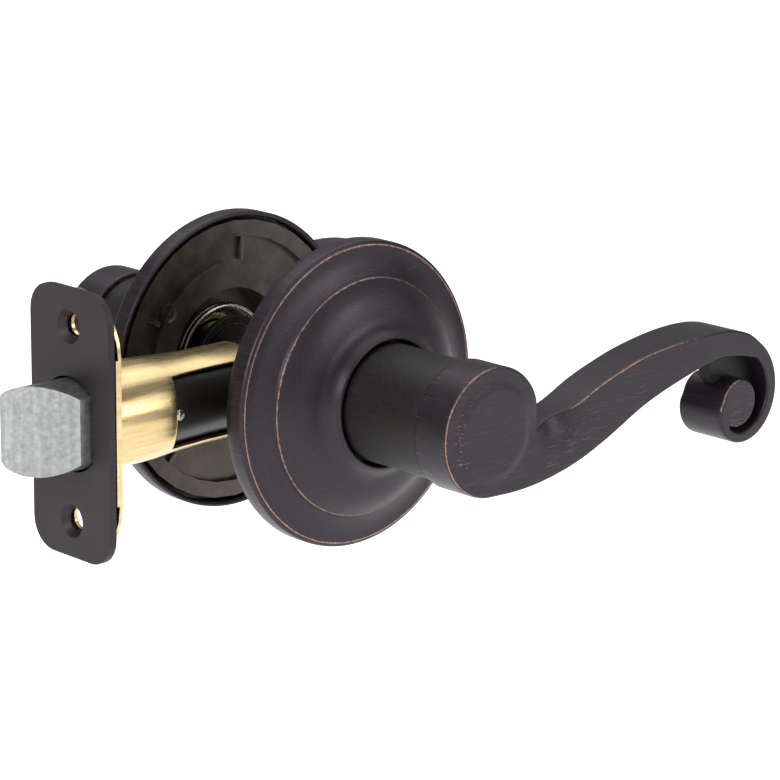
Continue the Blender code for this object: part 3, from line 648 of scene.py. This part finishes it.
def makeWebs():
    # a plate half way through closes the scroll's hollow, so it reads as a deep blind groove
    inner = lever["eye"] + lever["webOverlap"]
    band = scrollLine(
        lambda turn: inner + lever["innerGrowth"] * (turn - lever["innerTurn"]), 60, 240, 40
    )
    outline = [lever["scroll"], *band, (74.6, 5.0), (70.2, 5.2), (70.4, -1.0)]
    half = lever["webThickness"] / 2 * mm
    for side in outward:
        sideLow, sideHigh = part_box(f"{side}_lever")
        middle = (sideLow.y + sideHigh.y) / 2
        shape = bmesh.new()
        verts = [shape.verts.new((x * mm, middle - half, z * mm)) for x, z in outline]
        face = shape.faces.new(verts)
        pushed = bmesh.ops.extrude_face_region(shape, geom=[face])["geom"]
        moved = [g for g in pushed if isinstance(g, bmesh.types.BMVert)]
        bmesh.ops.translate(shape, vec=(0, 2 * half, 0), verts=moved)
        bmesh.ops.recalc_face_normals(shape, faces=shape.faces)
        # the web carries painted shade for the bottom of the groove
        place(f"{side}ScrollWeb", shape, grooveShadeFinish, "levers")


def cutBy(shape, point, normal, keep=lambda face: True):
    faces = [f for f in shape.faces if keep(f)]
    edges = {e for f in faces for e in f.edges}
    verts = {v for f in faces for v in f.verts}
    bmesh.ops.bisect_plane(
        shape, geom=[*verts, *edges, *faces], dist=0.0001 * mm, plane_co=point, plane_no=normal
    )


def shapeLever(back, front):
    # the outside lever, with heights measured off the door face
    face = doorFace["outside"]
    shape = bmesh.new()
    outline = [shape.verts.new((x * mm, face - back * mm, z * mm)) for x, z in leverOutline()]
    blank = shape.faces.new(outline)
    pushed = bmesh.ops.extrude_face_region(shape, geom=[blank])["geom"]
    moved = [g for g in pushed if isinstance(g, bmesh.types.BMVert)]
    bmesh.ops.translate(shape, vec=(0, -(front - back) * mm, 0), verts=moved)
    bmesh.ops.recalc_face_normals(shape, faces=shape.faces)
    rims = [e for e in shape.edges if sum(abs(f.normal.y) > 0.9 for f in e.link_faces) == 1]
    rounded = bmesh.ops.bevel(
        shape,
        geom=rims,
        offset=lever["edge"] * mm,
        offset_type="OFFSET",
        affect="EDGES",
        segments=4,
        profile=0.5,
        material=-1,
        clamp_overlap=False,
    )
    onRound = set(rounded["faces"])
    edgeWearAndHighlight = floatLayer(shape, "edgeWearAndHighlight")
    rub = floatLayer(shape, "rub")
    for vert in shape.verts:
        if all(f in onRound for f in vert.link_faces):
            tilt = sum(abs(f.normal.y) for f in vert.link_faces) / len(vert.link_faces)
            vert[edgeWearAndHighlight] = 1.0 if 0.5 < tilt < 0.88 else 0.4
    return shape, edgeWearAndHighlight, rub


def addGrid(shape, back, front):
    face = doorFace["outside"]
    low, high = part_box("outside_lever")
    step = lever["grid"] * mm
    for i in range(1, int((high.x - low.x) / step)):
        cutBy(shape, (low.x + i * step, 0, 0), (1, 0, 0))
    for i in range(1, int((high.z - low.z) / step)):
        cutBy(
            shape,
            (0, 0, low.z + i * step),
            (0, 0, 1),
            lambda f: f.calc_center_median().x < 36 * mm and abs(f.normal.y) > 0.9,
        )
    heights = (back + 1.0, back + 2.0, back + 3.4, (back + front) / 2, front - 2.4, front - 1.2)
    for height in heights:
        cutBy(shape, (0, face - height * mm, 0), (0, 1, 0), lambda f: abs(f.normal.y) < 0.4)


def wearOf(x, z, front):
    # how much copper shows along the rim, which is rubbed most where a hand slides over it
    angle = math.degrees(math.atan2(z, x)) % 360
    onDrum = math.hypot(x, z) < lever["drum"] + 0.6 and x < 11
    if not front:
        return 0.55 if onDrum else 0.2
    if onDrum:
        return 1.0 - 0.55 * smoothStep(abs(angle - 175), 70, 110)
    if x > 66:
        eyeGap = math.hypot(x - lever["scroll"][0], z - lever["scroll"][1])
        if eyeGap < lever["eye"] + 0.8:
            return 0.9 if x < lever["scroll"][0] else 0.3
        return 0.4
    upperEdge = z > -9.5 + 0.29 * x
    if upperEdge:
        return 0.95 * smoothStep(x, 18, 26) * (1 - 0.5 * smoothStep(x, 50, 66))
    return 0.35 + 0.5 * smoothStep(x, 18, 26) * (1 - smoothStep(x, 34, 44))


def finishLever(shape, edgeWearAndHighlight, rub, back, front):
    face = doorFace["outside"]
    middle = (back + front) / 2
    half = (front - back) / 2
    hollowX, hollowZ = lever["hollow"]
    for vert in shape.verts:
        x, z = vert.co.x / mm, vert.co.z / mm
        height = (face - vert.co.y) / mm
        away = (height - middle) / half
        radius = math.hypot(x, z)
        isFront = away > 0
        if vert[edgeWearAndHighlight] > 0:
            vert[edgeWearAndHighlight] *= wearOf(x, z, isFront)
        if isFront:
            nearDisc = 1 - smoothStep(abs(radius - lever["discRadius"]), 0.5, 1.6)
            leftOnly = 0.1 + 0.9 * smoothStep(-x, 4.5, 8.5) * (1 - smoothStep(abs(z), 5, 9))
            nearFront = 1 - smoothStep(front - height, 0.2, 2.4)
            onSide = 1 - smoothStep(away, 0.8, 0.95)
            faceRub = 0.6 * nearDisc * leftOnly * (1 - onSide)
            vert[rub] = max(faceRub, 0.25 * nearFront * onSide * (x < 10))
            if 16 < x < 46 and away > 0.9:
                vert[rub] = 0.25 * smoothStep(-z, -2 - 0.1 * x, 8)
            if math.hypot(x - lever["scroll"][0], z - lever["scroll"][1]) < lever["eye"]:
                vert[rub] = 0.2
        elif x < 13:
            vert[rub] = 0.6 * (1 - smoothStep(height - back, 0.2, 3.4))
        swell = smoothStep(x, lever["swellStart"], lever["swellStart"] + lever["swellLength"])
        height += away * lever["scrollExtra"] * swell
        if isFront:
            offDisc = smoothStep(radius, lever["discRadius"] - 0.55, lever["discRadius"] + 0.55)
            offDisc *= 1 - smoothStep(x, 20, 40)
            gap = ((x - hollowX) ** 2 + (z - hollowZ) ** 2) / (2 * lever["hollowSize"] ** 2)
            share = smoothStep(away, -0.6, 0.9)
            height -= lever["discStep"] * offDisc * share
            height -= lever["hollowDepth"] * math.exp(-gap) * share
        vert.co.y = face - height * mm


def boredLever(obj, side):
    # cuts the neck's socket and the set screw's hole, then drops the cutter
    low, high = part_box(f"{side}_lever")
    screwLow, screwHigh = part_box(f"{side}_set_screw")
    tubeLow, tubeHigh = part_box(f"{side}_drive_tube")
    out = outward[side]
    cutter = bmesh.new()
    socket = tubeHigh.x + lever["socketGap"] * mm
    socketEnd = (tubeLow.y if out < 0 else tubeHigh.y) + out * lever["socketGap"] * mm
    socketStart = (high.y if out < 0 else low.y) - out * lever["socketLead"] * mm
    along = Matrix.Rotation(math.pi / 2, 4, "X")
    bmesh.ops.create_cone(
        cutter,
        cap_ends=True,
        segments=64,
        radius1=socket,
        radius2=socket,
        depth=abs(socketEnd - socketStart),
        matrix=Matrix.Translation((0, (socketEnd + socketStart) / 2, 0)) @ along,
    )
    screwY = (screwLow.y + screwHigh.y) / 2
    bmesh.ops.create_cone(
        cutter,
        cap_ends=True,
        segments=40,
        radius1=lever["screwHole"] * mm,
        radius2=lever["screwHole"] * mm,
        depth=lever["screwHoleDepth"] * mm,
        matrix=Matrix.Translation((0, screwY, -lever["screwHoleDrop"] * mm)),
    )
    tool = place(f"{side}Cutter", cutter, bronzeFinish, None)
    bore = obj.modifiers.new("Bore", "BOOLEAN")
    bore.object = tool
    bore.operation = "DIFFERENCE"
    bore.use_self = True
    graph = bpy.context.evaluated_depsgraph_get()
    bored = bpy.data.meshes.new_from_object(obj.evaluated_get(graph))
    obj.modifiers.clear()
    obj.data = bored
    bpy.data.objects.remove(tool)


def makeLevers():
    low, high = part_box("outside_lever")
    back = (doorFace["outside"] - high.y) / mm + lever["scrollExtra"]
    front = (doorFace["outside"] - low.y) / mm - lever["scrollExtra"]
    shape, edgeWearAndHighlight, rub = shapeLever(back, front)
    addGrid(shape, back, front)
    finishLever(shape, edgeWearAndHighlight, rub, back, front)
    mirrored = shape.copy()
    bmesh.ops.scale(mirrored, vec=(1, -1, 1), verts=mirrored.verts)
    bmesh.ops.reverse_faces(mirrored, faces=mirrored.faces)
    for side, made in (("outside", shape), ("inside", mirrored)):
        obj = place(f"{side}ScrollLever", made, bronzeFinish, None)
        boredLever(obj, side)
        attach(obj, "levers")
        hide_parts(f"{side}_lever")
        smooth(obj, 50)
        weightNormals(obj)


makeLevers()
makeWebs()
print("levers made")

# latch: faceplate, brass tube with its window, nylon core and zinc bolt
latch = {
    "windowHalf": 7.8,
    "windowFront": 19.0,  # behind the tube's front end
    "lipCurve": 1.3,  # how far the window's front edge is cut back at its middle
    "wall": 0.8,
    "taperStart": 13.3,
    "taperEnd": 29.3,
    "rearNarrowing": 0.9,
    "rivet": (0.3, 0.0),  # behind the window's front edge, and up
    "rivetRadius": 1.15,
    "rivetWall": 0.3,
    "edge": 0.12,
}


def makeTube():
    low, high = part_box("latch_tube")
    radius = high.z
    window = latch["windowHalf"] * mm
    windowX = low.x + latch["windowFront"] * mm
    stations = [0, 0.3, 5, 9, latch["taperStart"], 16, 17.4, latch["windowFront"], 22]
    stations += [latch["taperEnd"], (high.x - low.x) / mm]
    shape = bmesh.new()
    verts = []
    for x in stations:
        share = smoothStep(x, latch["taperStart"], latch["taperEnd"])
        reach = radius - latch["rearNarrowing"] * mm * share
        verts.append(shape.verts.new((low.x + x * mm, 0, reach)))
    edges = [shape.edges.new(pair) for pair in zip(verts, verts[1:])]
    bmesh.ops.spin(
        shape,
        geom=verts + edges,
        cent=(0, 0, 0),
        axis=(1, 0, 0),
        dvec=(0, 0, 0),
        angle=2 * math.pi,
        steps=144,
        use_merge=True,
        use_duplicate=False,
    )
    bmesh.ops.remove_doubles(shape, verts=shape.verts, dist=0.003 * mm)
    for sign in (-1, 1):
        cutBy(shape, (0, 0, sign * window), (0, 0, 1))
    openings = []
    for face in shape.faces:
        centre = face.calc_center_median()
        if centre.x > windowX and abs(centre.z) < window:
            openings.append(face)
    bmesh.ops.delete(shape, geom=openings, context="FACES")
    for vert in shape.verts:
        if abs(vert.co.x - windowX) < 0.01 * mm and abs(vert.co.z) < window * 0.999:
            vert.co.x -= latch["lipCurve"] * mm * (1 - (vert.co.z / window) ** 2)
    bmesh.ops.recalc_face_normals(shape, faces=shape.faces)
    obj = place("drawnLatchTube", shape, brassFinish, "lock", ["latch_tube"])
    wall = obj.modifiers.new("Wall", "SOLIDIFY")
    wall.thickness = latch["wall"] * mm
    wall.offset = -1
    edge = obj.modifiers.new("Edge", "BEVEL")
    edge.width = latch["edge"] * mm
    edge.segments = 2
    edge.limit_method = "ANGLE"
    edge.angle_limit = math.radians(50)
    smooth(obj, 40)


def makeRivet():
    # the core's two halves are held by a small hollow rivet
    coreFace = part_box("latch_core")[1].z
    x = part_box("latch_tube")[0].x + (latch["windowFront"] + latch["rivet"][0]) * mm
    for side, out in outward.items():
        shape = bmesh.new()
        outer = latch["rivetRadius"] * mm
        bmesh.ops.create_circle(shape, cap_ends=True, segments=28, radius=outer)
        top = shape.faces[:]
        bmesh.ops.inset_region(shape, faces=top, thickness=0.35 * mm, depth=0.22 * mm)
        top = [f for f in shape.faces if len(f.verts) > 4]
        bmesh.ops.inset_region(shape, faces=top, thickness=0.25 * mm, depth=-0.35 * mm)
        turn = Matrix.Rotation(-out * math.pi / 2, 4, "X")
        bmesh.ops.transform(shape, matrix=turn, verts=shape.verts)
        bmesh.ops.translate(shape, vec=(x, out * (coreFace - 0.05 * mm), 0), verts=shape.verts)
        obj = place(f"{side}CoreRivet", shape, wireFinish, "lock")
        wall = obj.modifiers.new("Wall", "SOLIDIFY")
        wall.thickness = latch["rivetWall"] * mm
        wall.offset = -1
        smooth(obj, 40)


makeTube()
makeRivet()
refined("faceplate", "doorEdgeFaceplate", plateFinish, "lock", 0.4, 3)
refined("inner_plate", "latchCarrierPlate", brassFinish, "lock", 0.2, 2)
refined("latch_core", "mouldedLatchCore", nylonFinish, "lock", 0.2, 2)
# the bolt's bevelled edges get a painted highlight
refined("latch_bolt", "bevelledLatchBolt", zincFinish, "bolt", 0.5, 4, 1.0)
refined("bolt_tail", "boltFork", darkSteelFinish, "bolt", 0.2, 2)
print("latch made")

# springs, as helical wire
coil = {
    "radius": 11.5,
    "wire": 0.65,
    "turns": 2.1,
    "pitch": 1.4,
    "start": 79.0,  # degrees, beside the driver's tab
    "leg": 14.95,
    "perTurn": 40,
}
boltCoil = {"radius": 2.9, "wire": 0.45, "turns": 7.0, "perTurn": 32}


def wireAlong(name, points, radius):
    # a round wire through the points, turned into a mesh
    curve = bpy.data.curves.new(name, "CURVE")
    curve.dimensions = "3D"
    curve.bevel_depth = radius
    curve.bevel_resolution = 4
    curve.use_fill_caps = True
    spline = curve.splines.new("POLY")
    spline.points.add(len(points) - 1)
    for point, spot in zip(spline.points, points):
        point.co = (*spot, 1)
    source = bpy.data.objects.new(name + "Path", curve)
    bpy.context.scene.collection.objects.link(source)
    graph = bpy.context.evaluated_depsgraph_get()
    mesh = bpy.data.meshes.new_from_object(source.evaluated_get(graph))
    bpy.data.objects.remove(source)
    shape = bmesh.new()
    shape.from_mesh(mesh)
    bpy.data.meshes.remove(mesh)
    bmesh.ops.remove_doubles(shape, verts=shape.verts, dist=0.001 * mm)
    bmesh.ops.recalc_face_normals(shape, faces=shape.faces)
    return shape


def makeReturnSpring(side):
    low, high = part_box(f"{side}_return_spring")
    out = outward[side]
    first = min(abs(y - doorFace[side]) for y in (low.y, high.y)) + coil["wire"] * mm
    perTurn = coil["perTurn"]
    count = round(coil["turns"] * perTurn)
    radius = coil["radius"] * mm
    points = []
    for i in range(count + 1):
        angle = math.radians(coil["start"] - 360 * i / perTurn)
        y = doorFace[side] + out * (first + coil["pitch"] * mm * i / perTurn)
        # the two sides mirror each other through the door
        points.append((radius * math.cos(angle), y, -out * radius * math.sin(angle)))
    grow = coil["leg"] / coil["radius"]
    legs = [(p[0] * grow, p[1], p[2] * grow) for p in (points[0], points[-1])]
    shape = wireAlong(f"{side}Spring", [legs[0], *points, legs[1]], coil["wire"] * mm)
    obj = place(f"{side}TorsionSpring", shape, wireFinish, None)
    smooth(obj, 60)
    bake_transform(obj)
    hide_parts(f"{side}_return_spring")


def makeBoltSpring():
    low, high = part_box("bolt_spring")
    front = low.x + boltCoil["wire"] * mm
    rear = high.x - boltCoil["wire"] * mm
    count = int(boltCoil["turns"] * boltCoil["perTurn"])
    radius = boltCoil["radius"] * mm
    points = []
    for i in range(count + 1):
        angle = 2 * math.pi * i / boltCoil["perTurn"]
        x = front + (rear - front) * i / count
        points.append((x, radius * math.cos(angle), radius * math.sin(angle)))
    shape = wireAlong("boltSpring", points, boltCoil["wire"] * mm)
    obj = place("boltReturnSpring", shape, wireFinish, None)
    smooth(obj, 60)
    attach(obj, "lock")
    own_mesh(obj)
    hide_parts("bolt_spring")


for side in outward:
    makeReturnSpring(side)
makeBoltSpring()
print("springs made")

# hardware inside the roses
stamping = {
    "floor": 2.0,  # height of the plate's dished floor off the door
    "arcRadius": 21.8,
    "arcSpan": (97, 168),  # degrees
    "arcWidth": 0.9,
    "ribs": (  # angle, inner end, outer end, width
        (84, 22.4, 28.2, 1.2),
        (152, 23.5, 28.0, 1.0),
        (228, 19.0, 28.0, 1.0),
        (318, 19.0, 28.0, 1.0),
    ),
    "boss": (144, 22.4, 2.3),  # angle, distance out, radius
    "rise": 0.9,
    "sink": 0.3,  # how far the foot of each goes into the floor
    "edge": 0.2,
}


def addStampedBlock(shape, side, length, width, centre, angle):
    # a raised rib on the door side of the plate, with its foot sunk in the floor
    out = outward[side]
    y = doorFace[side] + out * (stamping["floor"] + (stamping["sink"] - stamping["rise"]) / 2) * mm
    made = bmesh.ops.create_cube(shape, size=1)["verts"]
    size = Matrix.Diagonal((length * mm, (stamping["rise"] + stamping["sink"]) * mm, width * mm, 1))
    turn = Matrix.Rotation(-math.radians(angle), 4, "Y")
    x = centre * mm * math.cos(math.radians(angle))
    z = centre * mm * math.sin(math.radians(angle))
    bmesh.ops.transform(shape, matrix=Matrix.Translation((x, y, z)) @ turn @ size, verts=made)


def makeStampings(side):
    out = outward[side]
    shape = bmesh.new()
    for angle, near, far, width in stamping["ribs"]:
        addStampedBlock(shape, side, far - near, width, (near + far) / 2, angle)
    bmesh.ops.bevel(
        shape,
        geom=shape.edges[:],
        offset=stamping["edge"] * mm,
        offset_type="OFFSET",
        affect="EDGES",
        segments=2,
        profile=0.5,
        material=-1,
    )
    # the raised arc is a small square section swept part of the way round
    low = doorFace[side] + out * (stamping["floor"] + stamping["sink"]) * mm
    high = doorFace[side] + out * (stamping["floor"] - stamping["rise"]) * mm
    first, last = stamping["arcSpan"]
    section = []
    for radius, y in ((0, low), (0, high), (1, high), (1, low)):
        reach = (stamping["arcRadius"] + radius * stamping["arcWidth"]) * mm
        start = math.radians(first)
        section.append(shape.verts.new((reach * math.cos(start), y, reach * math.sin(start))))
    cap = shape.faces.new(section)
    bmesh.ops.spin(
        shape,
        geom=[cap, *cap.edges, *cap.verts],
        cent=(0, 0, 0),
        axis=(0, 1, 0),
        dvec=(0, 0, 0),
        angle=-math.radians(last - first),
        steps=36,
        use_merge=False,
        use_duplicate=False,
    )
    # a small ring boss
    angle, reach, radius = stamping["boss"]
    x = reach * mm * math.cos(math.radians(angle))
    z = reach * mm * math.sin(math.radians(angle))
    at = (x, (low + high) / 2, z)
    made = bmesh.ops.create_cone(
        shape,
        cap_ends=True,
        segments=32,
        radius1=radius * mm,
        radius2=(radius - 0.25) * mm,
        depth=abs(high - low),
        matrix=Matrix.Translation(at) @ Matrix.Rotation(out * math.pi / 2, 4, "X"),
    )["verts"]
    caps = [f for f in {f for v in made for f in v.link_faces} if len(f.verts) > 4]
    nearCap = min(caps, key=lambda f: abs(f.calc_center_median().y - high))
    bmesh.ops.inset_region(shape, faces=[nearCap], thickness=0.55 * mm, depth=-0.5 * mm)
    bmesh.ops.remove_doubles(shape, verts=shape.verts, dist=0.003 * mm)
    bmesh.ops.recalc_face_normals(shape, faces=shape.faces)
    obj = place(f"{side}StampedRibs", shape, steelFinish, "lock")
    smooth(obj, 35)


for side in outward:
    makeStampings(side)
    refined(f"{side}_mounting_plate", f"{side}StampedPlate", steelFinish, "lock", 0.3, 2)
    refined(f"{side}_bushing", f"{side}BrassBushing", brassFinish, "lock", 0.15, 1)
    for node, name in (("drive_tube", "DriveTube"), ("spring_driver", "SpringDriver")):
        refined(f"{side}_{node}", side + name, darkSteelFinish, "levers", 0.2, 2)
    refined(f"{side}_retaining_ring", f"{side}SnapRing", wireFinish, "levers", 0.15, 1)
    refined(f"{side}_set_screw", f"{side}SetScrew", wireFinish, "levers", 0.15, 1)
for end in ("front", "rear"):
    refined(f"{end}_threaded_post", f"{end}ThreadedPost", darkSteelFinish, "lock", 0.2, 1)
    refined(f"{end}_mounting_screw", f"{end}MountingScrew", wireFinish, "lock", 0.15, 1)
refined("spindle", "halfRoundSpindle", darkSteelFinish, "levers", 0.2, 2)
refined("latch_cam", "latchCam", darkSteelFinish, "levers", 0.15, 1)
print("inner hardware made")

# floor, lights and camera
studio = {
    "floorDrop": 0.16,  # below the levers, so the lock hangs clear of it
    "floorColour": "#F7F7F7",
    "floorGlow": 0.5,  # lit paper, so it stays near white all the way back
    "world": 0.3,
    "lights": {
        "overhead": ((0.3, 0.3, 1.9), (2.6, 2.6), 38.0),
        "leftFront": ((-1.5, -0.35, 0.8), (0.9, 0.9), 20.0),
        "rightFront": ((0.7, -1.5, 0.6), (0.8, 0.8), 11.0),
    },
}
view = {
    "azimuth": 43.81,  # round from the outside face towards the door's edge
    "elevation": 14.94,
    "roll": 0.61,
    "distance": 0.694,
    "lens": 147.3,
    "across": 0.0219,  # how far right of the spindle's centre it looks
    "down": 0.0033,
}


def makeStudio():
    shape = bmesh.new()
    bmesh.ops.create_grid(shape, x_segments=8, y_segments=8, size=6)
    bmesh.ops.translate(shape, vec=(0, 0, cadLow[2] - studio["floorDrop"]), verts=shape.verts)
    material, _, shader = newMaterial("mattPaperSweep", 0.0, 0.9)
    shader.inputs["Base Color"].default_value = linear(studio["floorColour"])
    shader.inputs["Emission Color"].default_value = linear(studio["floorColour"])
    shader.inputs["Emission Strength"].default_value = studio["floorGlow"]
    floor = place("floor", shape, material, None)
    world = bpy.data.worlds.new("softRoom")
    bpy.context.scene.world = world
    world.use_nodes = True
    world.node_tree.nodes["Background"].inputs["Color"].default_value = (1, 1, 1, 1)
    world.node_tree.nodes["Background"].inputs["Strength"].default_value = studio["world"]
    for name, (spot, size, power) in studio["lights"].items():
        light = bpy.data.lights.new(name, "AREA")
        light.shape = "RECTANGLE"
        light.size, light.size_y = size
        light.energy = power
        lamp = bpy.data.objects.new(name, light)
        lamp.location = spot
        lamp.rotation_euler = (Vector((0, 0, 0)) - Vector(spot)).to_track_quat("-Z", "Y").to_euler()
        bpy.context.scene.collection.objects.link(lamp)
    bpy.context.scene.view_settings.view_transform = "Standard"


def makeCamera():
    a, e, roll = (math.radians(view[k]) for k in ("azimuth", "elevation", "roll"))
    back = Vector((-math.sin(a) * math.cos(e), -math.cos(a) * math.cos(e), math.sin(e)))
    level = Vector((math.cos(a), -math.sin(a), 0))
    raised = Vector((math.sin(a) * math.sin(e), math.cos(a) * math.sin(e), math.cos(e)))
    right = level * math.cos(roll) + raised * math.sin(roll)
    up = raised * math.cos(roll) - level * math.sin(roll)
    lens = bpy.data.cameras.new("camera")
    lens.lens = view["lens"]
    lens.sensor_width = 36
    camera = bpy.data.objects.new("camera", lens)
    spot = back * view["distance"] + right * view["across"] - up * view["down"]
    camera.matrix_world = Matrix.Translation(spot) @ Matrix((right, up, back)).transposed().to_4x4()
    bpy.context.scene.collection.objects.link(camera)
    bpy.context.scene.camera = camera


makeStudio()
makeCamera()
print("studio made")
